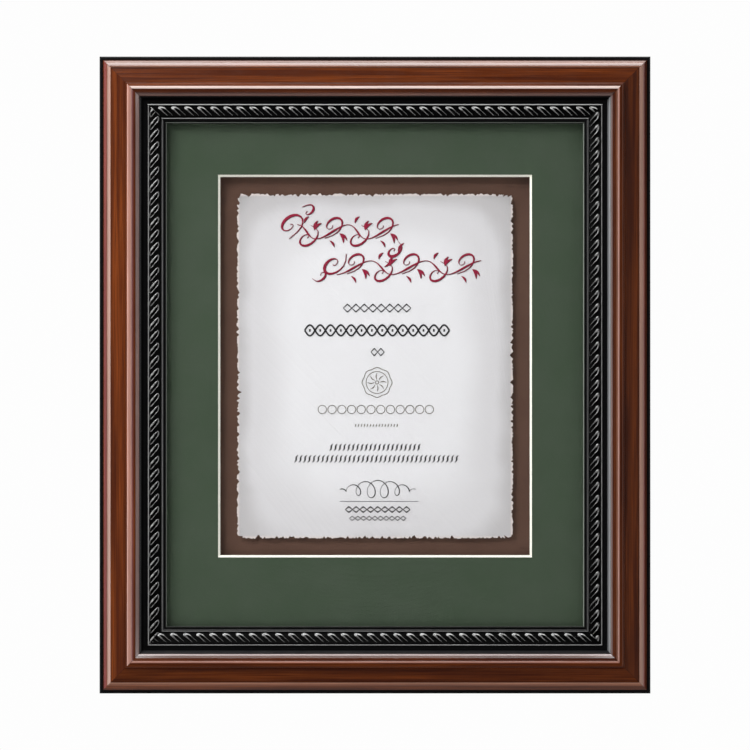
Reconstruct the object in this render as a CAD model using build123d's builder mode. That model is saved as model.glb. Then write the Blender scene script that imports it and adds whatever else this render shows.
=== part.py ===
from build123d import *
import os
from math import cos, pi, radians, sin, tan

os.makedirs("parts", exist_ok=True)

# A wall-hung certificate frame, in millimetres. X runs to the right as the frame is seen
# from the front and Z runs up. The origin is the point of the wall behind the middle of
# the frame, so the bumpers' faces lie at y = 0 and everything else is in front of them.

# The sheet, the board left bare round it and what shows of the mat. The frame's outside
# follows from these and from the width of the moulding's face.
sheet_width = 203.2
sheet_height = 254.0
board_margin = 12.7
mat_side_border = 39.3
mat_top_border = 39.05
mat_bottom_border = 52.25

# What the rabbet holds, counted from the back
backing_thickness = 3.0
mount_thickness = 1.5
spacer_thickness = 6.4
mat_thickness = 1.6
glass_thickness = 2.0
pack_clearance = 0.8
spacer_setback = 10.9
riser_thickness = 3.0
riser_inset = 12.0
sheet_thickness = 0.5
mat_bevel_angle = 45

# The sheet's torn edge is two waves of different length along every side
deckle_depth = 0.45
deckle_wave = 17.0
deckle_ripple_share = 0.4
deckle_ripple_ratio = 1.6
deckle_points_per_wave = 6

# Face widths of the mahogany rail, from the outer edge inward
edge_step_width = 2.7
outer_bead_width = 5.8
panel_width = 11.4
crest_radius = 2.9
slope_run = 4.2
facet_run = 2.8
rail_lip_overlap = 5.8

# Heights of the rail's face, each from the one named before it
crest_rise = 8.6
bead_step = 3.9
panel_rise = 3.8
bead_quirk = 0.4
outer_bead_rise = 4.6
outer_bead_bulge = 0.6
edge_quirk = 0.7
edge_round = 1.5
crest_turn_angle = 45
slope_angle = 20
facet_angle = 47

# Face widths of the black liner, from the rail's lip to the sight edge
cove_width = 5.5
fine_line_width = 1.2
bed_margin = 0.8
rope_width = 7.6
inner_margin = 0.5
inner_cove_width = 1.8
sight_bead_width = 1.2

# Heights of the liner's face
liner_lip_thickness = 3.7
liner_rise = 2.8
cove_drop = 1.0
cove_sag = 0.7
fine_line_rise = 0.6
bed_drop = 1.6
inner_cove_sag = 0.3
sight_bead_rise = 0.4
rope_rise = 3.0
glass_overlap = 6.4
liner_gap = 0.1

# V-shaped steel nails pressed into the back of every mitre
v_nail_run = 3.0
v_nail_spread = 4.2
v_nail_thickness = 0.7
v_nail_height = 7.0
v_nail_fit = 0.05
rail_v_nail_shares = (0.32, 0.68)
liner_v_nail_shares = (0.5,)

# Turn buttons and their screws
button_pivot_radius = 6.0
button_tip_radius = 4.2
button_reach = 23.0
button_thickness = 1.2
button_bore_radius = 1.9
button_gap = 0.2
button_edge_radius = 0.3
button_pivot_inset = 9.0
button_corner_distance = 114.0

# Pan-head screws
screw_shank_radius = 1.6
screw_length = 11.0
screw_tip_length = 2.5
screw_head_radius = 3.2
screw_head_height = 1.7
screw_head_rim = 0.7
recess_width = 0.8
recess_length = 3.6
recess_depth = 1.0
pilot_clearance = 0.05

# Hanger straps, each folded round the straight bar of a D-shaped ring
hanger_drop = 165.0
hanger_inset = 12.0
strap_width = 9.5
strap_length = 21.0
strap_sheet = 0.8
strap_end_radius = 4.0
strap_screw_drop = 14.5
ring_wire_radius = 1.2
ring_clearance = 0.15
ring_half_width = 7.7
ring_corner_radius = 2.0
ring_leg = 3.4

# Round rubber bumpers that keep the back off the wall
bumper_radius = 5.5
bumper_height = 4.6
bumper_round = 1.4
bumper_inset = 12.0
bumper_corner_drop = 42.0

# Heights measured forward from the back of the rails
mount_front = backing_thickness + mount_thickness
mat_back = mount_front + spacer_thickness
glass_back = mat_back + mat_thickness
pack_depth = glass_back + glass_thickness
sight_height = pack_depth + liner_lip_thickness
liner_height = sight_height + liner_rise
bed_height = liner_height - bed_drop
crest_height = liner_height + crest_rise
panel_inner_height = crest_height - bead_step
panel_outer_height = panel_inner_height - panel_rise
bead_top_height = panel_outer_height + bead_quirk
bead_foot_height = bead_top_height - outer_bead_rise
edge_height = bead_foot_height - edge_quirk

# Widths measured inward from the outer edge of the frame
bead_end = edge_step_width + outer_bead_width
panel_end = bead_end + panel_width
crest_place = panel_end + crest_radius
slope_end = crest_place + slope_run
rail_width = slope_end + facet_run
rail_body_width = rail_width - rail_lip_overlap
cove_end = rail_width + cove_width
bed_start = cove_end + fine_line_width
rope_start = bed_start + bed_margin
rope_end = rope_start + rope_width
bed_end = rope_end + inner_margin
inner_line_end = bed_end + fine_line_width
sight_bead_start = inner_line_end + inner_cove_width
sight_edge = sight_bead_start + sight_bead_width
liner_start = rail_body_width + liner_gap
rabbet_wall = sight_edge - glass_overlap

# Sizes across the front, from the sheet outward
window_width = sheet_width + 2 * board_margin
window_height = sheet_height + 2 * board_margin
window_raise = (mat_bottom_border - mat_top_border) / 2
frame_width = window_width + 2 * (mat_side_border + sight_edge)
frame_height = window_height + mat_top_border + mat_bottom_border + 2 * sight_edge

# The backs of the rails stand off the wall by the bumpers
back_y = -bumper_height
front = -Axis.Y.direction
rear = Axis.Y.direction
right = Axis.X.direction
up = Axis.Z.direction
inward = {"top": -up, "bottom": up, "left": right, "right": -right}
corners = [(-right - up), (right - up), (right + up), (-right + up)]


def half_size(direction):
    """Distance from the middle of the frame to the outer edge that lies this way."""
    return abs(direction.X) * frame_width / 2 + abs(direction.Z) * frame_height / 2


def at_height(height, x=0, z=0):
    """A point this far forward of the back of the rails."""
    return Vector(x, back_y - height, z)


def corner_point(corner, inset, height=0):
    """A point on the mitre line of a corner, this far in from both outer edges."""
    x = corner.X * (frame_width / 2 - inset)
    z = corner.Z * (frame_height / 2 - inset)
    return at_height(height, x, z)


def rail_outline():
    """The mahogany moulding: local x is the way inward, local y the way to the front."""
    crest_turn = radians(crest_turn_angle)
    crest_centre = (crest_place, crest_height - crest_radius)
    slope_top = (
        crest_centre[0] + crest_radius * sin(crest_turn),
        crest_centre[1] + crest_radius * cos(crest_turn),
    )
    facet_top_height = slope_top[1] - (slope_end - slope_top[0]) * tan(radians(slope_angle))
    facet_foot_height = facet_top_height - facet_run * tan(radians(facet_angle))
    Line((0, 0), (0, edge_height - edge_round))
    TangentArc(
        (0, edge_height - edge_round), (edge_round, edge_height), tangent=(0, edge_round)
    )
    Polyline(
        (edge_round, edge_height),
        (edge_step_width, edge_height),
        (edge_step_width, bead_foot_height),
    )
    SagittaArc(
        (edge_step_width, bead_foot_height),
        (bead_end, bead_top_height),
        outer_bead_bulge,
    )
    Polyline(
        (bead_end, bead_top_height),
        (bead_end, panel_outer_height),
        (panel_end, panel_inner_height),
        (panel_end, crest_centre[1]),
    )
    CenterArc(crest_centre, crest_radius, 180, -90 - crest_turn_angle)
    Polyline(
        slope_top,
        (slope_end, facet_top_height),
        (rail_width, facet_foot_height),
        (rail_width, liner_height),
        (rail_body_width, liner_height),
        (rail_body_width, 0),
        (0, 0),
    )


def liner_outline():
    """The black liner, with its own rabbet for the glass behind the sight edge."""
    line_height = liner_height - cove_drop
    Polyline((liner_start, 0), (liner_start, liner_height), (rail_width, liner_height))
    SagittaArc((rail_width, liner_height), (cove_end, line_height), -cove_sag)
    SagittaArc((cove_end, line_height), (bed_start, line_height), fine_line_rise)
    Polyline((bed_start, line_height), (bed_start, bed_height), (bed_end, bed_height))
    SagittaArc((bed_end, bed_height), (inner_line_end, bed_height), fine_line_rise)
    SagittaArc(
        (inner_line_end, bed_height), (sight_bead_start, sight_height), -inner_cove_sag
    )
    SagittaArc((sight_bead_start, sight_height), (sight_edge, sight_height), sight_bead_rise)
    Polyline(
        (sight_edge, sight_height),
        (sight_edge, pack_depth),
        (rabbet_wall, pack_depth),
        (rabbet_wall, 0),
        (liner_start, 0),
    )


def rope_outline():
    """The half-round bead that lies between the liner's two fine lines."""
    Line((rope_start, bed_height), (rope_end, bed_height))
    SagittaArc((rope_end, bed_height), (rope_start, bed_height), -rope_rise)


def v_nail_plane(corner, inset):
    """A plane on the back of the mitre, its x axis along the mitre line and z forward."""
    return Plane(origin=corner_point(corner, inset), x_dir=-corner, z_dir=front)


def v_nail_outline():
    """One V: its point towards the corner, one leg in each of the two sticks."""
    Polyline(
        (0, 0),
        (v_nail_run, v_nail_spread),
        (v_nail_run + v_nail_thickness, v_nail_spread),
        (v_nail_thickness, 0),
        (v_nail_run + v_nail_thickness, -v_nail_spread),
        (v_nail_run, -v_nail_spread),
        (0, 0),
    )


def shared_insets(start, end, shares):
    """Places between two widths, each at its share of the way from start to end."""
    return [start + (end - start) * share for share in shares]


rail_v_nail_insets = shared_insets(0, rail_body_width, rail_v_nail_shares)
liner_v_nail_insets = shared_insets(liner_start, rabbet_wall, liner_v_nail_shares)

# Turn buttons sit on the liner's back, two on each side, and point over the backing
button_inset = rabbet_wall - button_pivot_inset
button_places = {}
for side, ends in (
    ("top", ("left", "right")),
    ("bottom", ("left", "right")),
    ("left", ("lower", "upper")),
    ("right", ("lower", "upper")),
):
    to_middle = inward[side]
    along = right if side in ("top", "bottom") else up
    off_middle = half_size(along) - button_corner_distance
    for end, sign in zip(ends, (-1, 1)):
        pivot = along * (sign * off_middle) - to_middle * (half_size(to_middle) - button_inset)
        button_places[f"{side}_{end}"] = (to_middle, pivot + at_height(0))

hanger_sides = ("left", "right")
hanger_x = frame_width / 2 - hanger_inset
hanger_z = frame_height / 2 - hanger_drop
strap_plate = 2 * strap_sheet
eye_radius = ring_wire_radius + ring_clearance + strap_sheet
button_head_gap = 2 * button_gap + button_thickness


def button_screw_planes(side):
    """Planes on the back of the liner where this side's turn buttons are screwed on."""
    return [
        Plane(origin=place, x_dir=right, z_dir=front)
        for name, (_, place) in button_places.items()
        if name.startswith(side)
    ]


def mitred_stick(name, side, outline, nail_insets=(), screw_planes=(), grip=0):
    """One stick of moulding along a side, mitred, slotted for its nails and drilled."""
    to_middle = inward[side]
    edge_point = at_height(0) - to_middle * half_size(to_middle)
    profile_plane = Plane(origin=edge_point, x_dir=to_middle, z_dir=to_middle.cross(front))
    along = profile_plane.z_dir
    ends = [corner for corner in corners if corner.dot(to_middle) < 0]
    with BuildPart() as stick:
        with BuildSketch(profile_plane):
            with BuildLine():
                outline()
            make_face()
        extrude(amount=half_size(along), both=True)
        for corner in ends:
            outside = to_middle + along * corner.dot(along)
            split(
                bisect_by=Plane(origin=corner_point(corner, 0), z_dir=outside),
                keep=Keep.BOTTOM,
            )
        for corner in ends:
            for inset in nail_insets:
                with BuildSketch(v_nail_plane(corner, inset)):
                    with BuildLine():
                        v_nail_outline()
                    make_face()
                    offset(amount=v_nail_fit, kind=Kind.INTERSECTION)
                extrude(amount=v_nail_height + v_nail_fit, mode=Mode.SUBTRACT)
        for plane in screw_planes:
            with BuildSketch(plane):
                Circle(screw_shank_radius + pilot_clearance)
            extrude(amount=grip + pilot_clearance, mode=Mode.SUBTRACT)
    stick.part.label = name
    export_step(stick.part, f"parts/{name}.step")


# Mahogany rails, black liners and the rope beads that lie on them
for side in inward:
    strap_planes = []
    if side in hanger_sides:
        strap_point = at_height(0, -inward[side].X * hanger_x, hanger_z - strap_screw_drop)
        strap_planes = [Plane(origin=strap_point, x_dir=right, z_dir=front)]
    mitred_stick(
        f"rail_{side}",
        side,
        rail_outline,
        rail_v_nail_insets,
        strap_planes,
        screw_length - strap_plate,
    )
    mitred_stick(
        f"liner_{side}",
        side,
        liner_outline,
        liner_v_nail_insets,
        button_screw_planes(side),
        screw_length - button_head_gap,
    )
    mitred_stick(f"rope_bead_{side}", side, rope_outline)

# V-nails, flush with the back
for name, insets in (
    ("rail_v_nails", rail_v_nail_insets),
    ("liner_v_nails", liner_v_nail_insets),
):
    with BuildPart() as v_nails:
        for corner in corners:
            for inset in insets:
                with BuildSketch(v_nail_plane(corner, inset)):
                    with BuildLine():
                        v_nail_outline()
                    make_face()
                extrude(amount=v_nail_height)
    v_nails.part.label = name
    export_step(v_nails.part, f"parts/{name}.step")

# The pack: flat sheets that fill the rabbet, each against the one before it
pack_width = frame_width - 2 * (rabbet_wall + pack_clearance)
pack_height = frame_height - 2 * (rabbet_wall + pack_clearance)


def forward_plane(height, z=0):
    """A plane parallel to the wall at this height, x to the right and z to the front."""
    return Plane(origin=at_height(height, 0, z), x_dir=right, z_dir=front)


def pack_sheet(name, height, thickness):
    """A plain sheet of the pack, cut to fit the rabbet."""
    with BuildPart() as sheet:
        with BuildSketch(forward_plane(height)):
            Rectangle(pack_width, pack_height)
        extrude(amount=thickness)
    sheet.part.label = name
    export_step(sheet.part, f"parts/{name}.step")


pack_sheet("backing_board", 0, backing_thickness)
pack_sheet("mount_board", backing_thickness, mount_thickness)
pack_sheet("glass_pane", glass_back, glass_thickness)

# The mat, with a window bevelled so that its front edge is the wider one
mat_bevel = mat_thickness / tan(radians(mat_bevel_angle))
with BuildPart() as mat_board:
    with BuildSketch(forward_plane(mat_back)):
        Rectangle(pack_width, pack_height)
    extrude(amount=mat_thickness)
    with BuildSketch(forward_plane(mat_back, window_raise)):
        Rectangle(window_width, window_height)
    with BuildSketch(forward_plane(glass_back, window_raise)):
        Rectangle(window_width + 2 * mat_bevel, window_height + 2 * mat_bevel)
    loft(mode=Mode.SUBTRACT)
mat_board.part.label = "mat_board"
export_step(mat_board.part, "parts/mat_board.step")

# Spacer strips behind the mat, kept back from its window: two full height, two between
hidden_border = glass_overlap - pack_clearance - spacer_setback
side_strip = mat_side_border + hidden_border
strip_sizes = {
    "left": (side_strip, pack_height),
    "right": (side_strip, pack_height),
    "top": (pack_width - 2 * side_strip, mat_top_border + hidden_border),
    "bottom": (pack_width - 2 * side_strip, mat_bottom_border + hidden_border),
}
for side, (strip_width, strip_height) in strip_sizes.items():
    strip_x = -inward[side].X * (pack_width - strip_width) / 2
    strip_z = -inward[side].Z * (pack_height - strip_height) / 2
    with BuildPart() as spacer:
        with BuildSketch(forward_plane(mount_front)):
            with Locations((strip_x, strip_z)):
                Rectangle(strip_width, strip_height)
        extrude(amount=spacer_thickness)
    spacer.part.label = f"spacer_{side}"
    export_step(spacer.part, f"parts/spacer_{side}.step")

# The certificate floats on a smaller riser in the middle of the window
with BuildPart() as float_riser:
    with BuildSketch(forward_plane(mount_front, window_raise)):
        Rectangle(sheet_width - 2 * riser_inset, sheet_height - 2 * riser_inset)
    extrude(amount=riser_thickness)
float_riser.part.label = "float_riser"
export_step(float_riser.part, "parts/float_riser.step")


def deckle(distance):
    """How far the torn edge stands in from the sheet's straight outline."""
    turn = 2 * pi * distance / deckle_wave
    waves = sin(turn) + deckle_ripple_share * sin(deckle_ripple_ratio * turn)
    return deckle_depth * (1 + waves / (1 + deckle_ripple_share)) / 2


def torn_side(length):
    """Steps along one side, from its start to just before its end, with their insets."""
    steps = round(length / deckle_wave * deckle_points_per_wave)
    return [(length * step / steps, deckle(length * step / steps)) for step in range(1, steps)]


half_sheet = Vector(sheet_width / 2, sheet_height / 2)
torn_outline = []
for run, inset in torn_side(sheet_width):
    torn_outline.append((run - half_sheet.X, inset - half_sheet.Y))
for run, inset in torn_side(sheet_height):
    torn_outline.append((half_sheet.X - inset, run - half_sheet.Y))
for run, inset in torn_side(sheet_width):
    torn_outline.append((half_sheet.X - run, half_sheet.Y - inset))
for run, inset in torn_side(sheet_height):
    torn_outline.append((inset - half_sheet.X, half_sheet.Y - run))

with BuildPart() as certificate:
    with BuildSketch(forward_plane(mount_front + riser_thickness, window_raise)):
        with BuildLine():
            Polyline(*torn_outline, close=True)
        make_face()
    extrude(amount=sheet_thickness)
certificate.part.label = "certificate"
export_step(certificate.part, "parts/certificate.step")

# Turn buttons, each a flat teardrop with a clear hole for its screw
for name, (to_middle, place) in button_places.items():
    with BuildPart() as turn_button:
        with BuildSketch(Plane(origin=place + rear * button_gap, x_dir=to_middle, z_dir=rear)):
            Circle(button_pivot_radius)
            with Locations((button_reach, 0)):
                Circle(button_tip_radius)
            make_hull()
            Circle(button_bore_radius, mode=Mode.SUBTRACT)
        extrude(amount=button_thickness)
        outer_face = turn_button.faces().sort_by(Axis.Y)[-1]
        fillet(outer_face.outer_wire().edges(), button_edge_radius)
    turn_button.part.label = f"turn_button_{name}"
    export_step(turn_button.part, f"parts/turn_button_{name}.step")

# One pan-head screw, its head's underside at the origin and its point down
with BuildPart() as screw:
    with BuildSketch(Plane.XZ):
        with BuildLine():
            Polyline(
                (0, screw_head_height),
                (0, -screw_length),
                (screw_shank_radius, screw_tip_length - screw_length),
                (screw_shank_radius, 0),
                (screw_head_radius, 0),
                (screw_head_radius, screw_head_rim),
            )
            TangentArc(
                (0, screw_head_height),
                (screw_head_radius, screw_head_rim),
                tangent=(screw_head_radius, 0),
            )
        make_face()
    revolve(axis=Axis.Z)
    with BuildSketch(Plane.XY.offset(screw_head_height)):
        Rectangle(recess_length, recess_width)
        Rectangle(recess_width, recess_length)
    extrude(amount=-recess_depth, mode=Mode.SUBTRACT)

button_screw_seats = [
    Plane(origin=place + rear * button_head_gap, x_dir=right, z_dir=rear)
    for _, place in button_places.values()
]
strap_screw_seats = [
    Plane(
        origin=at_height(-strap_plate, sign * hanger_x, hanger_z - strap_screw_drop),
        x_dir=right,
        z_dir=rear,
    )
    for sign in (-1, 1)
]
for name, seats in (
    ("turn_button_screws", button_screw_seats),
    ("hanger_screws", strap_screw_seats),
):
    with BuildPart() as screws:
        with Locations(*seats):
            add(screw.part)
    screws.part.label = name
    export_step(screws.part, f"parts/{name}.step")

# Hangers: the strap's profile is drawn from the side, with the back of the rail at x = 0
for side in hanger_sides:
    hanger_point = at_height(0, -inward[side].X * hanger_x, hanger_z)
    with BuildPart() as strap:
        with BuildSketch(Plane(origin=hanger_point, x_dir=rear, z_dir=right)):
            with Locations((eye_radius, 0)):
                Circle(eye_radius)
            with Locations((strap_plate / 2, -strap_length / 2)):
                Rectangle(strap_plate, strap_length)
            with Locations((eye_radius, 0)):
                Circle(ring_wire_radius + ring_clearance, mode=Mode.SUBTRACT)
        extrude(amount=strap_width / 2, both=True)
        fillet(strap.edges().filter_by(Axis.Y).group_by(Axis.Z)[0], strap_end_radius)
        with BuildSketch(
            Plane(origin=hanger_point - up * strap_screw_drop, x_dir=right, z_dir=rear)
        ):
            Circle(screw_shank_radius + pilot_clearance)
        extrude(amount=strap_plate, mode=Mode.SUBTRACT)
    strap.part.label = f"hanger_strap_{side}"
    export_step(strap.part, f"parts/hanger_strap_{side}.step")

    bar_end = ring_half_width - ring_corner_radius
    ring_point = hanger_point + rear * eye_radius
    with BuildPart() as ring:
        with BuildLine(Plane(origin=ring_point, x_dir=right, z_dir=front)):
            Line((0, 0), (bar_end, 0))
            CenterArc((bar_end, ring_corner_radius), ring_corner_radius, -90, 90)
            Line((ring_half_width, ring_corner_radius), (ring_half_width, ring_leg))
            CenterArc((0, ring_leg), ring_half_width, 0, 90)
        with BuildSketch(Plane(origin=ring_point, x_dir=up, z_dir=right)):
            Circle(ring_wire_radius)
        sweep()
        mirror(about=Plane(origin=ring_point, x_dir=up, z_dir=right))
    ring.part.label = f"hanger_ring_{side}"
    export_step(ring.part, f"parts/hanger_ring_{side}.step")

# Rubber bumpers near the corners, proud of everything else on the back
with BuildPart() as wall_bumpers:
    for corner in corners:
        bumper_x = corner.X * (frame_width / 2 - bumper_inset)
        bumper_z = corner.Z * (frame_height / 2 - bumper_corner_drop)
        with BuildSketch(Plane(origin=at_height(0, bumper_x, bumper_z), x_dir=right, z_dir=rear)):
            Circle(bumper_radius)
        extrude(amount=bumper_height)
    fillet(wall_bumpers.faces().group_by(Axis.Y)[-1].edges(), bumper_round)
wall_bumpers.part.label = "wall_bumpers"
export_step(wall_bumpers.part, "parts/wall_bumpers.step")
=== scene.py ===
from math import cos, pi, sin

import bmesh
import bpy
from mathutils import Matrix, Vector, noise


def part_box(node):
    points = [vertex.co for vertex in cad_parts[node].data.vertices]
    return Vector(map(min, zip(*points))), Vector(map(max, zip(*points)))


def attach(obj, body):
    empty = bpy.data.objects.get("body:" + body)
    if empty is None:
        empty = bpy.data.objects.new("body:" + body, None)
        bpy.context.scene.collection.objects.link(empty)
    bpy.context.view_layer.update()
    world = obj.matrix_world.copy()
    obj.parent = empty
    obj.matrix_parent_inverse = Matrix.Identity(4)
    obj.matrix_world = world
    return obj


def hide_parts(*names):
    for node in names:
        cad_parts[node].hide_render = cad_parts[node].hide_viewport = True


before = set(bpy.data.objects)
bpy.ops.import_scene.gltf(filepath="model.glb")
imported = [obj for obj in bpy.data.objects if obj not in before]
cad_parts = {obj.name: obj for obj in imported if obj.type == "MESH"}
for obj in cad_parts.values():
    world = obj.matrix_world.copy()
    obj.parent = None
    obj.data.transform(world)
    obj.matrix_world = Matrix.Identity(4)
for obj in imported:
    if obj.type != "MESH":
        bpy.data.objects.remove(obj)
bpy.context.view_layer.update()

# The view and the light
# The frame is looked at square on from well back, on white. The key light stands high on
# its left and in front. Large softboxes beside and over it show in the lacquer.
mm = 0.001
scene = bpy.context.scene
scene.view_settings.view_transform = "Standard"
camera_distance = 2.8
photo_span = 553.1 * mm
outer_edge_y = -21.6 * mm

camera = bpy.data.objects.new("camera", bpy.data.cameras.new("camera"))
camera.location = (0, -camera_distance, 0)
camera.rotation_euler = (pi / 2, 0, 0)
camera.data.lens = camera.data.sensor_width * (camera_distance + outer_edge_y) / photo_span
camera.data.clip_end = 20
scene.collection.objects.link(camera)
scene.camera = camera


def node(tree, kind, feeds=None, **settings):
    """A shader node with its settings, fed by other nodes' outputs or by plain values."""
    made = tree.nodes.new("ShaderNode" + kind)
    for setting, value in settings.items():
        setattr(made, setting, value)
    for place, feed in (feeds or {}).items():
        if isinstance(feed, bpy.types.NodeSocket):
            tree.links.new(feed, made.inputs[place])
        else:
            made.inputs[place].default_value = feed
    return made


def paint(red, green, blue):
    """A paint's colour, from the 0 to 255 of a colour chart to light."""
    levels = [part / 255 for part in (red, green, blue)]
    light = [part / 12.92 if part < 0.04 else ((part + 0.055) / 1.055) ** 2.4 for part in levels]
    return light + [1]


world = bpy.data.worlds.new("studio")
world.use_nodes = True
world.node_tree.nodes.clear()
scene.world = world
toward = node(world.node_tree, "TexCoord").outputs["Generated"]
height = node(world.node_tree, "SeparateXYZ", {0: toward}).outputs["Z"]
below = node(
    world.node_tree,
    "MapRange",
    {"Value": height, "From Min": -0.75, "From Max": -0.97, "To Min": 0.045, "To Max": 0.6},
)
room = node(
    world.node_tree, "Background", {"Color": (1, 1, 1, 1), "Strength": below.outputs["Result"]}
)
paper_sweep = node(world.node_tree, "Background", {"Color": (1, 1, 1, 1), "Strength": 0.985})
looked_at = node(world.node_tree, "LightPath")
seen_room = node(
    world.node_tree,
    "MixShader",
    {0: looked_at.outputs["Is Camera Ray"], 1: room.outputs[0], 2: paper_sweep.outputs[0]},
)
node(world.node_tree, "OutputWorld", {"Surface": seen_room.outputs[0]})


frame_middle = Vector((0, 0, 0))


def softbox(name, place, width, height, radiance):
    """An evenly lit panel that faces the frame and isn't itself in the picture."""
    lamp = bpy.data.lights.new(name, "AREA")
    lamp.shape = "RECTANGLE"
    lamp.size = width
    lamp.size_y = height
    lamp.energy = radiance * pi * width * height
    holder = bpy.data.objects.new(name, lamp)
    holder.location = place
    aim = frame_middle - Vector(place)
    holder.rotation_euler = aim.to_track_quat("-Z", "Y").to_euler()
    holder.visible_camera = False
    scene.collection.objects.link(holder)


softbox("key_softbox", (-0.9, -1.02, 1.2), 0.85, 0.85, 13)
softbox("left_wall", (-1.86, -0.88, 0.3), 0.75, 2.0, 3.9)
softbox("top_softbox", (0, -0.28, 1.2), 0.7, 0.45, 8)
softbox("right_card", (1.3, -0.5, 0.1), 0.9, 1.3, 2.5)
softbox("back_softbox", (0.4, 1.7, 0.8), 2.4, 2.0, 1.9)

floor_half_width = 1.6
floor_shape = (1, 0.9, 1)
floor_place = (0, -0.15, -0.45)
bm = bmesh.new()
bmesh.ops.create_grid(bm, x_segments=1, y_segments=1, size=floor_half_width)
bmesh.ops.scale(bm, vec=floor_shape, verts=bm.verts)
bmesh.ops.translate(bm, vec=floor_place, verts=bm.verts)
floor_mesh = bpy.data.meshes.new("floor")
bm.to_mesh(floor_mesh)
bm.free()
floor = bpy.data.objects.new("floor", floor_mesh)
scene.collection.objects.link(floor)
floor.visible_glossy = False


def arithmetic(tree, operation, first, second=0.0, **settings):
    """One step of arithmetic on a value that changes over the surface."""
    return node(tree, "Math", {0: first, 1: second}, operation=operation, **settings).outputs[0]


def between(tree, share, first, second):
    """A colour that goes from the first to the second as the share goes from 0 to 1."""
    feeds = {"Factor": share, "A": first, "B": second}
    made = tree.nodes.new("ShaderNodeMix")
    made.data_type = "RGBA"
    for socket in made.inputs:
        if socket.type == "RGBA" or socket.identifier == "Factor_Float":
            feed = feeds[socket.name]
            if isinstance(feed, bpy.types.NodeSocket):
                tree.links.new(feed, socket)
            else:
                socket.default_value = feed
    return next(socket for socket in made.outputs if socket.type == "RGBA")


def spread(tree, value, low, high, first=0.0, second=1.0):
    """A value stretched from low..high to first..second, held at its ends."""
    feeds = {"Value": value, "From Min": low, "From Max": high, "To Min": first, "To Max": second}
    return node(tree, "MapRange", feeds).outputs["Result"]


def cloud(tree, point, scale, detail=3.0, roughness=0.5):
    """Soft random variation over the surface, its lumps about 1 / scale metres across."""
    feeds = {"Vector": point, "Scale": scale, "Detail": detail, "Roughness": roughness}
    return node(tree, "TexNoise", feeds).outputs["Fac"]


def finish(name):
    """A new material: it, its tree, its surface shader and the point on the piece."""
    made = bpy.data.materials.new(name)
    made.use_nodes = True
    tree = made.node_tree
    shader = tree.nodes["Principled BSDF"]
    return made, tree, shader, node(tree, "TexCoord").outputs["Object"]


def raised(tree, shader, height, depth):
    """Lets a height that changes over the surface show as relief of this depth."""
    relief = node(tree, "Bump", {"Height": height, "Distance": depth, "Strength": 1.0})
    tree.links.new(relief.outputs["Normal"], shader.inputs["Normal"])


def put(shader, tree, place, feed):
    """Feeds a shader's input from a node's output."""
    tree.links.new(feed, shader.inputs[place])


floor_paint, tree, shader, point = finish("floor_paint")
floor_tone = between(tree, cloud(tree, point, 3), paint(236, 236, 234), paint(243, 243, 241))
put(shader, tree, "Base Color", floor_tone)
shader.inputs["Roughness"].default_value = 0.8
floor.data.materials.append(floor_paint)

# The mahogany rails
# Four sticks of hardwood moulding, stained to mahogany, lacquered and mitred at the corners.
# Their outer step is sprayed black, and the back is left as raw wood with some overspray.
half_width = 203.2 * mm
half_height = 234.95 * mm
rail_back_y = -4.6 * mm
edge_step = 2.7 * mm
brush_overlap = 0.05 * mm
brush_wander = 0.15 * mm
seam_core = 0.05 * mm
seam_edge = 0.3 * mm
seam_share = 0.5
overspray_reach = 5 * mm
raw_layer = 0.12 * mm
pore_depth = 0.03 * mm


def tone_ramp(tree, place, stops):
    """Tones by place, as a colour and the share in which it covers what is under it."""
    ramp = node(tree, "ValToRGB", {0: place})
    tones = ramp.color_ramp.elements
    for at, colour, share in stops:
        if at in (0, 1):
            stop = tones[-int(at)]
        else:
            stop = tones.new(at)
        stop.color = (*colour[:3], share)
    return ramp.outputs["Color"], ramp.outputs["Alpha"]


def shader_group(name, takes, gives):
    """A shader node group with named inputs and outputs, and its two inner ends."""
    group = bpy.data.node_groups.new(name, "ShaderNodeTree")
    for label, kind, value in takes:
        socket = group.interface.new_socket(label, in_out="INPUT", socket_type="NodeSocket" + kind)
        if value is not None:
            socket.default_value = value
    for label, kind in gives:
        group.interface.new_socket(label, in_out="OUTPUT", socket_type="NodeSocket" + kind)
    return group, group.nodes.new("NodeGroupInput"), group.nodes.new("NodeGroupOutput")


def use_group(tree, group, **feeds):
    """Places a shader node group in a material, with its own values."""
    placed = tree.nodes.new("ShaderNodeGroup")
    placed.node_tree = group
    for label, feed in feeds.items():
        socket = placed.inputs[label.replace("_", " ").title()]
        if isinstance(feed, bpy.types.NodeSocket):
            tree.links.new(feed, socket)
        else:
            socket.default_value = feed
    return placed.outputs


# Where a point of the moulding lies: how far in from the outer edge, how far from the
# mitre line, and how far in front of the raw back.
moulding_place, taken, given = shader_group(
    "moulding_place",
    [("Point", "Vector", None)],
    [("Inward", "Float"), ("From Mitre", "Float"), ("From Back", "Float")],
)
parts = node(moulding_place, "SeparateXYZ", {0: taken.outputs["Point"]})
beside = arithmetic(moulding_place, "ABSOLUTE", parts.outputs["X"])
over = arithmetic(moulding_place, "ABSOLUTE", parts.outputs["Z"])
from_side = arithmetic(moulding_place, "SUBTRACT", half_width, beside)
from_end = arithmetic(moulding_place, "SUBTRACT", half_height, over)
between_edges = arithmetic(moulding_place, "SUBTRACT", from_side, from_end)
moulding_place.links.new(
    arithmetic(moulding_place, "MINIMUM", from_side, from_end), given.inputs["Inward"]
)
moulding_place.links.new(
    arithmetic(moulding_place, "ABSOLUTE", between_edges), given.inputs["From Mitre"]
)
moulding_place.links.new(
    arithmetic(moulding_place, "SUBTRACT", rail_back_y, parts.outputs["Y"]),
    given.inputs["From Back"],
)

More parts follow.
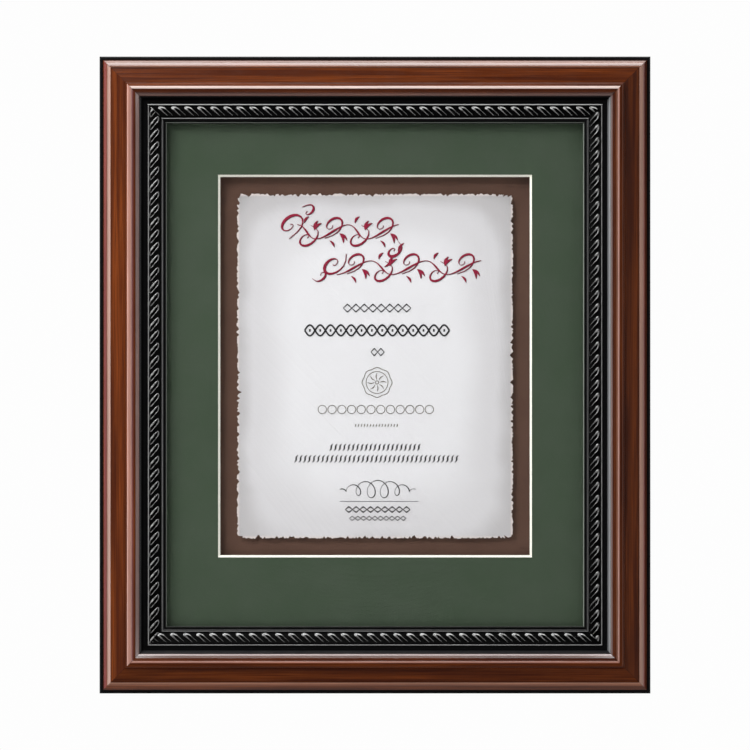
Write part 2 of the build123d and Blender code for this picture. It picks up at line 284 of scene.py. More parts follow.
# Wood figure that runs along x: broad soft bands, fine streaks and short dark pores. Each
# has its scale along and across the grain, its detail, and the range of noise that shows.
wood_figure, taken, given = shader_group(
    "wood_figure",
    [("Point", "Vector", None)],
    [("Bands", "Float"), ("Streaks", "Float"), ("Pores", "Float")],
)
for label, run, across, detail, low, high in (
    ("Bands", 7, 260, 3, 0.38, 0.62),
    ("Streaks", 22, 1300, 4, 0.3, 0.7),
    ("Pores", 160, 5200, 2, 0.6, 0.78),
):
    stretched = node(
        wood_figure,
        "Mapping",
        {"Vector": taken.outputs["Point"], "Scale": (run, across, across)},
    )
    figure = cloud(wood_figure, stretched.outputs[0], 1, detail)
    wood_figure.links.new(spread(wood_figure, figure, low, high), given.inputs[label])

# Dust that has settled on whatever faces up, in faint patches.
settled_dust, taken, given = shader_group(
    "settled_dust", [("Point", "Vector", None), ("Amount", "Float", 0.1)], [("Dust", "Float")]
)
normal = node(settled_dust, "NewGeometry").outputs["Normal"]
facing = node(settled_dust, "SeparateXYZ", {0: normal}).outputs["Z"]
patches = spread(settled_dust, cloud(settled_dust, taken.outputs["Point"], 90, 6), 0.35, 0.75)
lying = arithmetic(settled_dust, "MULTIPLY", spread(settled_dust, facing, 0.2, 1), patches)
settled_dust.links.new(
    arithmetic(settled_dust, "MULTIPLY", lying, taken.outputs["Amount"]), given.inputs["Dust"]
)


def lacquered_moulding(name, turn, colours, tones, gloss, face, black_step):
    """Lacquered moulding with wood figure along its stick and a raw wooden back.

    The tones (place, colour, share), which paint highlights, reflections and shade over the stain,
    and the gloss (place, share) lie across its face, which runs from face[0] to face[1] millimetres
    in from the frame's outer edge.
    """
    made, tree, shader, point = finish(name)
    place = use_group(tree, moulding_place, point=point)
    along = node(tree, "Mapping", {"Vector": point, "Rotation": (0, turn, 0)}).outputs[0]
    figure = use_group(tree, wood_figure, point=along)
    dark, middle, light = colours
    body = between(tree, figure["Bands"], middle, light)
    body = between(tree, arithmetic(tree, "MULTIPLY", figure["Streaks"], 0.7), body, dark)
    body = between(tree, arithmetic(tree, "MULTIPLY", figure["Pores"], 0.35), body, dark)
    across = spread(tree, place["Inward"], face[0] * mm, face[1] * mm)
    wide = face[1] - face[0]
    stops = [((at - face[0]) / wide, colour, share) for at, colour, share in tones]
    nothing = (0, tones[0][1], 0)
    tone, cover = tone_ramp(tree, across, [nothing, *stops, (1, tones[-1][1], tones[-1][2])])
    white = (1, 1, 1)
    shine = [((at - face[0]) / wide, white, share) for at, share in gloss]
    shine = [(0, white, gloss[0][1]), *shine, (1, white, gloss[-1][1])]
    gloss_share = tone_ramp(tree, across, shine)[1]
    # The tones paint highlights, reflections and shade over the stain, broken a little by the
    # streaks.
    painted_light_cover = arithmetic(tree, "MULTIPLY", cover, spread(tree, figure["Streaks"], 0, 1, 1.0, 0.75))
    body = between(tree, painted_light_cover, body, tone)
    if black_step:
        wander = arithmetic(tree, "MULTIPLY", figure["Bands"], brush_wander)
        edge_line = arithmetic(tree, "ADD", place["Inward"], wander)
        painted = arithmetic(tree, "LESS_THAN", edge_line, edge_step + brush_overlap)
        body = between(tree, painted, body, paint(13, 13, 14))
    seam = spread(tree, place["From Mitre"], seam_core, seam_edge, seam_share, 0.0)
    body = between(tree, seam, body, paint(12, 8, 7))
    speck = use_group(tree, settled_dust, point=point, amount=0.06)["Dust"]
    body = between(tree, speck, body, paint(170, 165, 158))
    overspray = spread(tree, cloud(tree, point, 18, 6), 0.45, 0.8, 0.0, 0.3)
    near_edge = spread(tree, place["Inward"], 0, overspray_reach, 0.9, 0.0)
    bare = between(tree, figure["Streaks"], paint(176, 140, 98), paint(142, 106, 70))
    bare = between(tree, figure["Pores"], bare, paint(96, 68, 44))
    bare = between(tree, arithmetic(tree, "MAXIMUM", overspray, near_edge), bare, paint(42, 32, 26))
    bare = between(tree, seam, bare, paint(48, 34, 24))
    raw = arithmetic(tree, "LESS_THAN", place["From Back"], raw_layer)
    put(shader, tree, "Base Color", between(tree, raw, body, bare))
    rough = arithmetic(tree, "MAXIMUM", arithmetic(tree, "MULTIPLY", raw, 0.78), 0.3)
    put(shader, tree, "Roughness", rough)
    coat = arithmetic(tree, "MULTIPLY", arithmetic(tree, "SUBTRACT", 1.0, raw), gloss_share)
    if black_step:
        coat = arithmetic(tree, "MULTIPLY", coat, spread(tree, painted, 0, 1, 1.0, 0.12))
    put(shader, tree, "Coat Weight", coat)
    shader.inputs["Specular IOR Level"].default_value = 0.06
    shader.inputs["Coat Roughness"].default_value = 0.12
    shader.inputs["Coat IOR"].default_value = 1.6
    grain_height = arithmetic(tree, "MULTIPLY", figure["Pores"], -1.0)
    raised(tree, shader, grain_height, pore_depth)
    return made


def dress(name, material):
    """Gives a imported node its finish."""
    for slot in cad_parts[name].material_slots:
        slot.material = material


# Tones over the stain by how far in they lie, in millimetres: painted shade in the quirks and
# hollows, and painted highlights and reflections on the beads, crests and facets, set on each stick
# for how it is lit.
painted_shade = paint(40, 14, 8)
mauve_reflection = paint(156, 92, 96)
tan_highlight = paint(186, 140, 120)
pink_highlight = paint(206, 156, 142)
pale_highlight = paint(246, 222, 214)
ashen_reflection = paint(140, 124, 122)
bead_painted_light = {
    "top": [
        (2.7, painted_shade, 0.95), (3.3, painted_shade, 0.9), (3.8, pale_highlight, 0.4), (4.8, pale_highlight, 0.25),
        (6.6, pink_highlight, 0.2), (7.3, tan_highlight, 0.1),
    ],
    "bottom": [
        (2.7, painted_shade, 0.7), (3.4, painted_shade, 0.1), (5.4, tan_highlight, 0.05), (7.2, tan_highlight, 0.3),
        (8.4, tan_highlight, 0.6),
    ],
    "left": [
        (2.7, painted_shade, 0.9), (3.2, painted_shade, 0.4), (3.7, mauve_reflection, 0.5), (4.8, mauve_reflection, 0.5),
        (5.4, mauve_reflection, 0.25), (5.9, tan_highlight, 0.3), (8.5, tan_highlight, 0.75),
    ],
    "right": [
        (2.7, painted_shade, 0.85), (4.0, painted_shade, 0.45), (4.9, mauve_reflection, 0.25), (6.0, tan_highlight, 0.35),
        (8.5, tan_highlight, 0.6),
    ],
}
# The painted shade's share in the second quirk; where the crest's painted highlight starts and
# ends, its colour and share; the colour and share painted on the slope (shade on the top and bottom
# sticks, a reflection on the left one, a highlight on the right one); where the facet's painted
# reflection starts, its colour and share.
quirk_shade_shares = {"top": 0.0, "bottom": 0.3, "left": 0.35, "right": 0.3}
crest_highlights = {
    "top": (22.6, 24.7, pale_highlight, 0.95),
    "bottom": (23.4, 25.0, pink_highlight, 0.4),
    "left": (20.9, 24.4, pink_highlight, 0.6),
    "right": (23.4, 25.0, pink_highlight, 0.4),
}
slope_painted_light = {
    "top": (painted_shade, 0.55),
    "bottom": (painted_shade, 0.35),
    "left": (mauve_reflection, 0.35),
    "right": (tan_highlight, 0.15),
}
facet_highlights = {
    "top": (28.3, ashen_reflection, 0.35),
    "bottom": (29.0, paint(196, 182, 180), 0.9),
    "left": (27.6, ashen_reflection, 0.6),
    "right": (28.9, ashen_reflection, 0.65),
}
# How much of the coat is left on the bead, the flat panel and the crest, where the dull flank
# before the crest ends, and how far each stick's stain is darkened, as painted shade for how that
# stick is lit.
bead_gloss = {"top": 0.8, "bottom": 0.35, "left": 0.7, "right": 0.3}
panel_gloss = {"top": 0.7, "bottom": 0.7, "left": 1.0, "right": 0.75}
flank_ends = {"top": 22.3, "bottom": 22.5, "left": 20.6, "right": 22.5}
crest_gloss = {"top": 0.9, "bottom": 0.5, "left": 0.75, "right": 0.6}
stain_shade_shares = {"top": 0.67, "bottom": 0.63, "left": 0.83, "right": 0.53}
mahogany_colours = (paint(58, 18, 5), paint(88, 37, 10), paint(132, 63, 20))
stick_turns = {"top": 0, "bottom": 0, "left": pi / 2, "right": pi / 2}
for side, turn in stick_turns.items():
    start, end, crest_highlight, crest_highlight_share = crest_highlights[side]
    slope_light, slope_light_share = slope_painted_light[side]
    facet_start, facet_highlight, facet_highlight_share = facet_highlights[side]
    quirk_shade_share = quirk_shade_shares[side]
    tones = [
        *bead_painted_light[side],
        (8.8, painted_shade, 0.6), (9.4, painted_shade, 0.0),
        (18.6, painted_shade, 0.0), (19.3, painted_shade, quirk_shade_share), (start - 0.1, painted_shade, quirk_shade_share * 0.6),
        (start, crest_highlight, 0.0), (start + 0.3, crest_highlight, crest_highlight_share), (end - 0.3, crest_highlight, crest_highlight_share),
        (end + 0.1, slope_light, slope_light_share), (26.4, painted_shade, 0.45), (facet_start - 0.5, painted_shade, 0.3),
        (facet_start, facet_highlight, facet_highlight_share), (29.5, facet_highlight, facet_highlight_share), (29.7, painted_shade, 0.9),
    ]
    flank_end = flank_ends[side]
    gloss = [
        (2.7, bead_gloss[side]), (8.4, bead_gloss[side]),
        (9.0, panel_gloss[side]), (18.7, panel_gloss[side]),
        (19.3, 0.08), (flank_end, 0.08),
        (flank_end + 0.4, crest_gloss[side]), (25.2, crest_gloss[side]),
        (25.8, 0.8), (29.4, 0.8), (29.65, 0.1),
    ]
    share = stain_shade_shares[side]
    side_shaded_colours = [[part * share for part in colour[:3]] + [1] for colour in mahogany_colours]
    mahogany = lacquered_moulding(f"mahogany_{side}", turn, side_shaded_colours, tones, gloss, (0, 30), True)
    dress(f"rail_{side}", mahogany)

# The black liners
# Inner sticks in black lacquer, with a cove, two raised fine lines and a beaded sight edge.
# The lines' and the bead's crests are rubbed grey and painted lighter as highlights, more on the
# better lit sticks, and the lip has a painted sheen. The sticks hold the glass behind the edge.
black = paint(6, 6, 7)
lip_painted_sheen = paint(144, 145, 148)
sight_highlight = paint(128, 134, 127)
fine_lines_from = 35
# On each stick, how bright the lines' painted highlights are, how much the sight edge's painted
# highlight and the lip's painted sheen show, where the lip ends, and how far the lines and the edge
# lie off their drawn places.
line_highlight_grey = {"top": 215, "bottom": 140, "left": 180, "right": 130}
sight_highlight_shares = {"top": 0.35, "bottom": 0.1, "left": 0.5, "right": 0.9}
lip_painted_sheens = {"top": 0.0, "bottom": 0.06, "left": 0.0, "right": 0.6}
lip_ends = {"top": 30.6, "bottom": 31.6, "left": 30.6, "right": 31.6}
lip_gloss = {"top": 0.15, "bottom": 0.2, "left": 0.15, "right": 0.8}
line_shifts = {"top": -0.1, "bottom": 0.25, "left": 0.5, "right": 0.4}
black_colours = (paint(1, 1, 2), paint(2, 2, 3), paint(4, 4, 5))
for side, turn in stick_turns.items():
    line_highlight = paint(*[line_highlight_grey[side]] * 3)
    inner_line_highlight = paint(*[line_highlight_grey[side] * 0.75] * 3)
    sight_highlight_share = sight_highlight_shares[side]
    tones = [
        (29.1, lip_painted_sheen, lip_painted_sheens[side]), (lip_ends[side], lip_painted_sheen, lip_painted_sheens[side]),
        (lip_ends[side] + 0.8, black, 0.0), (35.4, black, 0.0), (35.6, line_highlight, 0.95),
        (36.1, line_highlight, 0.95), (36.3, black, 0.0), (45.6, black, 0.0),
        (45.8, inner_line_highlight, 0.95), (46.1, inner_line_highlight, 0.95), (46.3, black, 0.0),
        (48.5, black, 0.0), (48.75, sight_highlight, sight_highlight_share), (49.3, sight_highlight, sight_highlight_share),
        (49.5, black, 0.0),
    ]
    shift = line_shifts[side]
    tones = [
        (at + shift * (at > fine_lines_from), colour, share) for at, colour, share in tones
    ]
    gloss = [
        (29.1, lip_gloss[side]), (32, lip_gloss[side]), (33, 1.0), (44.9, 1.0),
        (45.4, 0.4), (46.5, 0.4), (46.7, 0.15),
    ]
    liner_black = lacquered_moulding(
        f"black_lacquer_{side}", turn, black_colours, tones, gloss, (29, 50), False
    )
    dress(f"liner_{side}", liner_black)

# The rope ornament
# A run of slanted, rimmed lobes pressed into a strip of black composition between the fine
# lines. Each lobe is a ring that is thick on one flank and thin on the other, over a low bead.
rope_inward = 41.1 * mm
rope_middle = half_height - rope_inward
rope_bed_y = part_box("rope_bead_top")[1].y
ground_share = 0.35
side_turns = {"top": 0, "right": pi / 2, "bottom": pi, "left": -pi / 2}
lobe_pitch = {"top": 9.62 * mm, "bottom": 9.68 * mm, "left": 9.27 * mm, "right": 9.4 * mm}
turned_sticks = ("bottom", "left")
lobe_shifts = {"top": 0, "bottom": 0.2 * mm, "left": 0.6 * mm, "right": -0.9 * mm}
lobe_rise = 1.9
lobe_tilt = 0.22
lobe_fall = 0.11
# The rim's path in a lobe, in millimetres: across the bead, along it, and the rim's radius,
# on most sticks and on the left one, where the lobes are heaviest at their feet.
lobe_knots = (
    (3.1, 1.5, 0.12, 0.5), (1.9, 0.0, 0.36, 1.05), (0.0, -2.1, 0.6, 0.95), (-1.9, -4.1, 1.08, 0.7),
    (-3.0, -5.4, 1.42, 0.52), (-3.35, -3.2, 0.95, 0.52), (-2.8, -1.0, 0.5, 0.48),
    (-1.2, 0.7, 0.44, 0.44), (0.4, 2.5, 0.36, 0.4), (2.2, 4.6, 0.26, 0.3), (3.0, 4.9, 0.1, 0.14),
    (3.3, 3.2, 0.08, 0.12),
)


def lobe_rim(heavy_foot):
    """One ringed lobe at the middle of the top stick, made from a closed curve."""
    line = bpy.data.curves.new("lobe_rim", "CURVE")
    line.dimensions = "3D"
    line.bevel_depth = 1
    line.bevel_resolution = 1
    line.resolution_u = 3
    ring = line.splines.new("NURBS")
    ring.points.add(len(lobe_knots) - 1)
    for knot, (across, along, *rims) in zip(ring.points, lobe_knots):
        rise = lobe_rise - lobe_tilt * across - lobe_fall * across**2
        knot.co = (along * mm, rope_bed_y - rise * mm, rope_middle - across * mm, 1)
        knot.radius = rims[heavy_foot] * mm
    ring.use_cyclic_u = True
    ring.order_u = 3
    holder = bpy.data.objects.new("lobe_rim", line)
    made = bpy.data.meshes.new_from_object(holder)
    bpy.data.objects.remove(holder)
    return made


def add_mesh(bm, mesh, matrix):
    """Adds a copy of a mesh to the bmesh, placed by the matrix, and returns its points."""
    before = set(bm.verts)
    bm.from_mesh(mesh)
    added = [vert for vert in bm.verts if vert not in before]
    bmesh.ops.transform(bm, matrix=matrix, verts=added)
    return added


def new_piece(name, bm, *materials, smooth=True):
    """Turns a bmesh into a piece of the scene, with its finishes."""
    mesh = bpy.data.meshes.new(name)
    bm.to_mesh(mesh)
    bm.free()
    mesh.shade_smooth() if smooth else mesh.shade_flat()
    for material in materials:
        mesh.materials.append(material)
    made = bpy.data.objects.new(name, mesh)
    scene.collection.objects.link(made)
    return made


unlit_share = 0.42


def highlighted_pressed_black(name, unlit_from, brightest_at, highlight_grey):
    """Gloss black rubbed grey on the lobes' crowns and painted lighter there as a highlight, most
    at their lit heavy ends.
    """
    made, tree, shader, point = finish(name)
    normal = node(tree, "NewGeometry").outputs["Normal"]
    facing = node(tree, "SeparateXYZ", {0: normal}).outputs["Y"]
    crown = spread(tree, facing, -0.6, -0.97)
    wear = spread(tree, cloud(tree, point, 520, 4), 0.34, 0.62, 0.35, 1.0)
    rubbed_and_lit = arithmetic(tree, "MULTIPLY", crown, wear)
    # Painted highlight: the crowns' grey brightens towards the lobes' lit heavy ends.
    inward = use_group(tree, moulding_place, point=point)["Inward"]
    lit_heads = spread(tree, inward, unlit_from * mm, brightest_at * mm)
    bare = between(tree, lit_heads, paint(*[highlight_grey * unlit_share] * 3), paint(*[highlight_grey] * 3))
    dusty = use_group(tree, settled_dust, point=point, amount=0.12)["Dust"]
    tone = between(tree, rubbed_and_lit, paint(3, 3, 4), bare)
    put(shader, tree, "Base Color", between(tree, dusty, tone, paint(140, 136, 130)))
    put(shader, tree, "Roughness", spread(tree, rubbed_and_lit, 0, 1, 0.2, 0.4))
    shader.inputs["Coat Weight"].default_value = 1
    shader.inputs["Coat Roughness"].default_value = 0.2
    shader.inputs["Coat IOR"].default_value = 1.8
    raised(tree, shader, rubbed_and_lit, 0.02 * mm)
    return made


# Each stick's painted highlight: where across the bead it is dimmest and brightest, in millimetres
# in from the outer edge, and its grey, brighter on the better lit sticks.
rope_gloss = {
    "top": highlighted_pressed_black("rope_gloss_top", 40.0, 38.4, 235),
    "bottom": highlighted_pressed_black("rope_gloss_bottom", 42.6, 43.8, 235),
    "left": highlighted_pressed_black("rope_gloss_left", 40.8, 38.8, 215),
    "right": highlighted_pressed_black("rope_gloss_right", 41.6, 39.6, 150),
}

rope_ground, tree, shader, point = finish("rope_ground")
stipple = spread(tree, cloud(tree, point, 1600, 4), 0.35, 0.7)
put(shader, tree, "Base Color", between(tree, stipple, paint(2, 2, 2), paint(10, 10, 10)))
shader.inputs["Roughness"].default_value = 0.75
shader.inputs["Specular IOR Level"].default_value = 0.05
raised(tree, shader, stipple, 0.12 * mm)

lobe_meshes = {side: lobe_rim(side == "left") for side in side_turns}
half_sizes = {"top": half_height, "bottom": half_height, "left": half_width, "right": half_width}
half_runs = {"top": half_width, "bottom": half_width, "left": half_height, "right": half_height}
for side, turn in side_turns.items():
    bm = bmesh.new()
    ground = add_mesh(bm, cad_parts[f"rope_bead_{side}"].data, Matrix.Identity(4))
    bmesh.ops.remove_doubles(bm, verts=ground, dist=0.001 * mm)
    bmesh.ops.scale(
        bm,
        vec=(1, ground_share, 1),
        space=Matrix.Translation((0, -rope_bed_y, 0)),
        verts=bm.verts,
    )
    for face in bm.faces:
        face.material_index = 1
    upright = Matrix.Rotation(turn, 4, "Y")
    off_edge = Matrix.Translation((0, 0, half_sizes[side] - half_height + lobe_shifts[side]))
    lobes = int((half_runs[side] - rope_inward) / lobe_pitch[side]) + 1
    turned = Matrix.Rotation(pi if side in turned_sticks else 0, 4, "Y")
    about_bead = Matrix.Translation((0, 0, rope_middle))
    placed_lobe = about_bead @ turned @ about_bead.inverted()
    for lobe in range(-lobes, lobes + 1):
        shift = Matrix.Translation((lobe * lobe_pitch[side], 0, 0))
        add_mesh(bm, lobe_meshes[side], upright @ off_edge @ shift @ placed_lobe)
    for sign in (-1, 1):
        lobe_faces = [face for face in bm.faces if face.material_index == 0]
        lobe_edges = {edge for face in lobe_faces for edge in face.edges}
        lobe_verts = {vert for face in lobe_faces for vert in face.verts}
        cut = bmesh.ops.bisect_plane(
            bm,
            geom=[*lobe_verts, *lobe_edges, *lobe_faces],
            plane_co=upright @ Vector((sign * half_runs[side], 0, half_sizes[side])),
            plane_no=upright @ Vector((sign, 0, -1)),
            clear_outer=True,
        )
        open_edges = [part for part in cut["geom_cut"] if isinstance(part, bmesh.types.BMEdge)]
        bmesh.ops.edgeloop_fill(bm, edges=open_edges)
    rope = new_piece(f"rope_{side}", bm, rope_gloss[side], rope_ground)
    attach(rope, "frame")
    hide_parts(f"rope_bead_{side}")

# The glass
# A plain pane of float glass, 2 mm thick, laid in the liners' rebate against their lip.
glazing = bpy.data.materials.new("glazing")
glazing.use_nodes = True
tree = glazing.node_tree
shader = tree.nodes["Principled BSDF"]
shader.inputs["Base Color"].default_value = (0.99, 0.99, 0.991, 1)
shader.inputs["Transmission Weight"].default_value = 1
shader.inputs["IOR"].default_value = 1.5
point = node(tree, "TexCoord").outputs["Object"]
smears = spread(tree, cloud(tree, point, 12, 5), 0.35, 0.8, 0.0, 0.02)
put(shader, tree, "Roughness", smears)
path = node(tree, "LightPath")
unseen = arithmetic(
    tree, "MAXIMUM", path.outputs["Is Shadow Ray"], path.outputs["Is Diffuse Ray"]
)
clear = node(tree, "BsdfTransparent", {"Color": (0.945, 0.945, 0.946, 1)})
pane_surface = node(
    tree, "MixShader", {0: unseen, 1: shader.outputs[0], 2: clear.outputs[0]}
)
tree.links.new(pane_surface.outputs[0], tree.nodes["Material Output"].inputs["Surface"])
dress("glass_pane", glazing)

# The mat
# A window mat of paper-faced board, dark green on the front, bevel cut so that its cream
# core shows round the window. It lies between the glass and the spacers.
window_half_width = 114.3 * mm
window_half_height = 139.7 * mm
window_middle = 6.6 * mm
mat_bevel = 1.6 * mm


def in_rectangle(tree, point, middle, wide, high, rounding=0.0):
    """How far a point lies inside a rectangle, less near its corners if they are rounded."""
    parts = node(tree, "SeparateXYZ", {0: point})
    beside = arithmetic(tree, "ABSOLUTE", parts.outputs["X"])
    over = arithmetic(tree, "ABSOLUTE", arithmetic(tree, "SUBTRACT", parts.outputs["Z"], middle))
    depths = {
        0: arithmetic(tree, "SUBTRACT", wide, beside),
        1: arithmetic(tree, "SUBTRACT", high, over),
        2: rounding,
    }
    return node(tree, "Math", depths, operation="SMOOTH_MIN").outputs[0]


paper_fibre, taken, given = shader_group(
    "paper_fibre",
    [("Point", "Vector", None), ("Fineness", "Float", 900.0)],
    [("Mottle", "Float"), ("Fibres", "Float")],
)
fine = cloud(paper_fibre, taken.outputs["Point"], taken.outputs["Fineness"], 5, 0.6)
paper_fibre.links.new(spread(paper_fibre, fine, 0.3, 0.7), given.inputs["Fibres"])
broad = cloud(paper_fibre, taken.outputs["Point"], 35, 4)
paper_fibre.links.new(spread(paper_fibre, broad, 0.3, 0.7), given.inputs["Mottle"])

core_margin = 0.02 * mm
green_mat, tree, shader, point = finish("green_mat")
fibre = use_group(tree, paper_fibre, point=point, fineness=1400)
face = between(tree, fibre["Mottle"], paint(58, 74, 56), paint(65, 78, 63))
face = between(tree, arithmetic(tree, "MULTIPLY", fibre["Fibres"], 0.3), face, paint(78, 88, 74))
core = between(tree, fibre["Fibres"], paint(247, 245, 231), paint(254, 252, 243))
inside = in_rectangle(
    tree, point, window_middle, window_half_width + mat_bevel, window_half_height + mat_bevel
)
cut = arithmetic(tree, "GREATER_THAN", inside, core_margin)
put(shader, tree, "Base Color", between(tree, cut, face, core))
shader.inputs["Roughness"].default_value = 0.85
shader.inputs["Specular IOR Level"].default_value = 0.2
raised(tree, shader, fibre["Fibres"], 0.05 * mm)
dress("mat_board", green_mat)

# The mount board, the spacers and the riser
# A brown board closes the window from behind. White foam strips hold the mat off it, and a
# smaller block of the same foam lifts the sheet.
brown_board, tree, shader, point = finish("brown_board")
fibre = use_group(tree, paper_fibre, point=point, fineness=1100)
face = between(tree, fibre["Mottle"], paint(97, 71, 59), paint(105, 78, 65))
face = between(tree, arithmetic(tree, "MULTIPLY", fibre["Fibres"], 0.35), face, paint(84, 62, 52))
put(shader, tree, "Base Color", face)
shader.inputs["Roughness"].default_value = 0.88
shader.inputs["Specular IOR Level"].default_value = 0.2
raised(tree, shader, fibre["Fibres"], 0.06 * mm)
dress("mount_board", brown_board)

foam_board, tree, shader, point = finish("foam_board")
cells = node(tree, "TexVoronoi", {"Vector": point, "Scale": 1500}).outputs["Distance"]
put(shader, tree, "Base Color", between(tree, cells, paint(228, 228, 224), paint(246, 246, 243)))
shader.inputs["Roughness"].default_value = 0.8
raised(tree, shader, cells, 0.15 * mm)
for name in ("float_riser", *(f"spacer_{side}" for side in side_turns)):
    dress(name, foam_board)

# The sheet
# Heavy handmade paper with a torn, feathered edge on all four sides, toned grey towards its
# edges. It is glued to the riser, so that it floats over the brown board.
sheet_half_width = 101.6 * mm
sheet_half_height = 127.0 * mm
sheet_back_y = -12.1 * mm
sheet_thickness = 0.5 * mm
corner_radius = 4 * mm
feather = 2.4 * mm
tear_points = 560
longest_tips = 0.9
edge_lift = 0.22 * mm
edge_ripple = 0.1 * mm
wave_depth = 0.25
nibble_depth = 3.2
fray_depth = 1.1
bite_depth = 4
least_tear = 0.03


def tear(place):
    """How far inside its nominal edge the sheet is torn at a place; the tips reach past it."""
    wave = noise.noise(place * 60) * wave_depth
    nibble = abs(noise.noise(place * 360 + Vector((0, 0, 0.2)))) * nibble_depth
    fray = abs(noise.noise(place * 1050 + Vector((0, 0.7, 0.2)))) * fray_depth
    bite = max(0, noise.noise(place * 300 + Vector((0, 0.3, 0.4))) - 0.34) * bite_depth
    return (max(least_tear, wave + nibble + fray + bite) - longest_tips) * mm


bm = bmesh.new()
bmesh.ops.create_grid(bm, x_segments=1, y_segments=1, size=1)
bmesh.ops.scale(bm, vec=(sheet_half_width, sheet_half_height, 1), verts=bm.verts)
bmesh.ops.rotate(bm, matrix=Matrix.Rotation(pi / 2, 3, "X"), verts=bm.verts)
bmesh.ops.translate(bm, vec=(0, sheet_back_y - sheet_thickness, window_middle), verts=bm.verts)
bmesh.ops.bevel(
    bm, geom=bm.verts[:], offset=corner_radius, affect="VERTICES", segments=6, profile=0.5,
    material=-1,
)
long_edges = [edge for edge in bm.edges if edge.calc_length() > sheet_half_width]
bmesh.ops.subdivide_edges(bm, edges=long_edges, cuts=tear_points)
outer = bm.verts[:]
bmesh.ops.inset_region(bm, faces=bm.faces[:], thickness=feather / 2, use_even_offset=True)
bmesh.ops.inset_region(
    bm, faces=[max(bm.faces, key=lambda face: face.calc_area())], thickness=feather / 2
)
for vert in outer:
    sideways = -vert.co.x / sheet_half_width
    upwards = (window_middle - vert.co.z) / sheet_half_height
    way_in = Vector(part if abs(part) > 0.93 else 0 for part in (sideways, 0, upwards))
    vert.co += way_in * tear(vert.co)
    vert.co.y += edge_lift + noise.noise(vert.co * 300) * edge_ripple
sheet_faces = bm.faces[:]
walls = bmesh.ops.extrude_face_region(bm, geom=sheet_faces)
behind = [part for part in walls["geom"] if isinstance(part, bmesh.types.BMVert)]
for vert in behind:
    vert.co.y = sheet_back_y
bmesh.ops.recalc_face_normals(bm, faces=bm.faces)

toning_rounding = 72 * mm
handmade_paper, tree, shader, point = finish("handmade_paper")
fibre = use_group(tree, paper_fibre, point=point, fineness=1000)
depth_in = in_rectangle(tree, point, window_middle, sheet_half_width, sheet_half_height)
toned_depth = in_rectangle(
    tree, point, window_middle, sheet_half_width, sheet_half_height, toning_rounding
)
wander = arithmetic(
    tree, "MULTIPLY", arithmetic(tree, "SUBTRACT", cloud(tree, point, 22, 4), 0.5), 16 * mm
)
low_down = node(tree, "SeparateXYZ", {0: point}).outputs["Z"]
lighter_foot = spread(tree, low_down, -85 * mm, -120 * mm, 0, 9 * mm)
shown_depth = arithmetic(tree, "ADD", arithmetic(tree, "ADD", toned_depth, wander), lighter_foot)
tone_place = spread(tree, shown_depth, -12 * mm, 45 * mm)
toning = node(tree, "ValToRGB", {0: tone_place})
greys = toning.color_ramp
greys.interpolation = "EASE"
greys.elements[0].color = paint(164, 162, 163)
greys.elements[1].color = paint(235, 235, 238)
greys.elements.new(0.21).color = paint(191, 189, 191)
greys.elements.new(0.447).color = paint(217, 216, 219)
speckle = arithmetic(tree, "MULTIPLY", fibre["Fibres"], 0.12)
paper = between(tree, speckle, toning.outputs["Color"], paint(190, 184, 172))
rim = spread(tree, depth_in, 0.2 * mm, 1.7 * mm, 0.8, 0.0)
paper = between(tree, rim, paper, paint(226, 214, 209))
put(shader, tree, "Base Color", paper)
shader.inputs["Roughness"].default_value = 0.9
shader.inputs["Specular IOR Level"].default_value = 0.15
raised(tree, shader, fibre["Fibres"], 0.04 * mm)
deckled_sheet = new_piece("deckled_sheet", bm, handmade_paper, smooth=False)
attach(deckled_sheet, "frame")
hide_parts("certificate")

# The print
# Ink on the sheet: crimson vine scrolls at its head, then rows of ornament in black and old
# gold, a round seal and a pen flourish. Each stroke is a thin film on the paper's face.
film_thickness = 0.02 * mm
stroke_flatness = 0.01


def ink(name, red, green, blue):
    """Printing ink, a little uneven where the paper took it."""
    made, tree, shader, point = finish(name)
    taken_up = spread(tree, cloud(tree, point, 900, 4), 0.35, 0.7, 0.0, 0.04)
    tone = between(tree, taken_up, paint(red, green, blue), paint(206, 202, 202))
    put(shader, tree, "Base Color", tone)
    shader.inputs["Roughness"].default_value = 0.6
    shader.inputs["Specular IOR Level"].default_value = 0.2
    return made


def print_strokes(name, strokes, material, layer=1):
    """Prints strokes, each a list of points: across, up and half width, in millimetres."""
    line = bpy.data.curves.new(name, "CURVE")
    line.dimensions = "3D"
    line.bevel_depth = 1
    line.bevel_resolution = 0
    line.resolution_u = 2
    for stroke in strokes:
        path = line.splines.new("NURBS")
        path.points.add(len(stroke) - 1)
        for knot, (across, up, half) in zip(path.points, stroke):
            knot.co = (across * mm, 0, up * mm, 1)
            knot.radius = half * mm
        path.order_u = 3
        path.use_endpoint_u = True
    holder = bpy.data.objects.new(name, line)
    flat = bpy.data.meshes.new_from_object(holder)
    bpy.data.objects.remove(holder)
    bm = bmesh.new()
    bm.from_mesh(flat)
    bmesh.ops.scale(bm, vec=(1, stroke_flatness, 1), verts=bm.verts)
    front = sheet_back_y - sheet_thickness - layer * film_thickness
    bmesh.ops.translate(bm, vec=(0, front, 0), verts=bm.verts)
    made = new_piece(name, bm, material, smooth=False)
    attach(made, "frame")


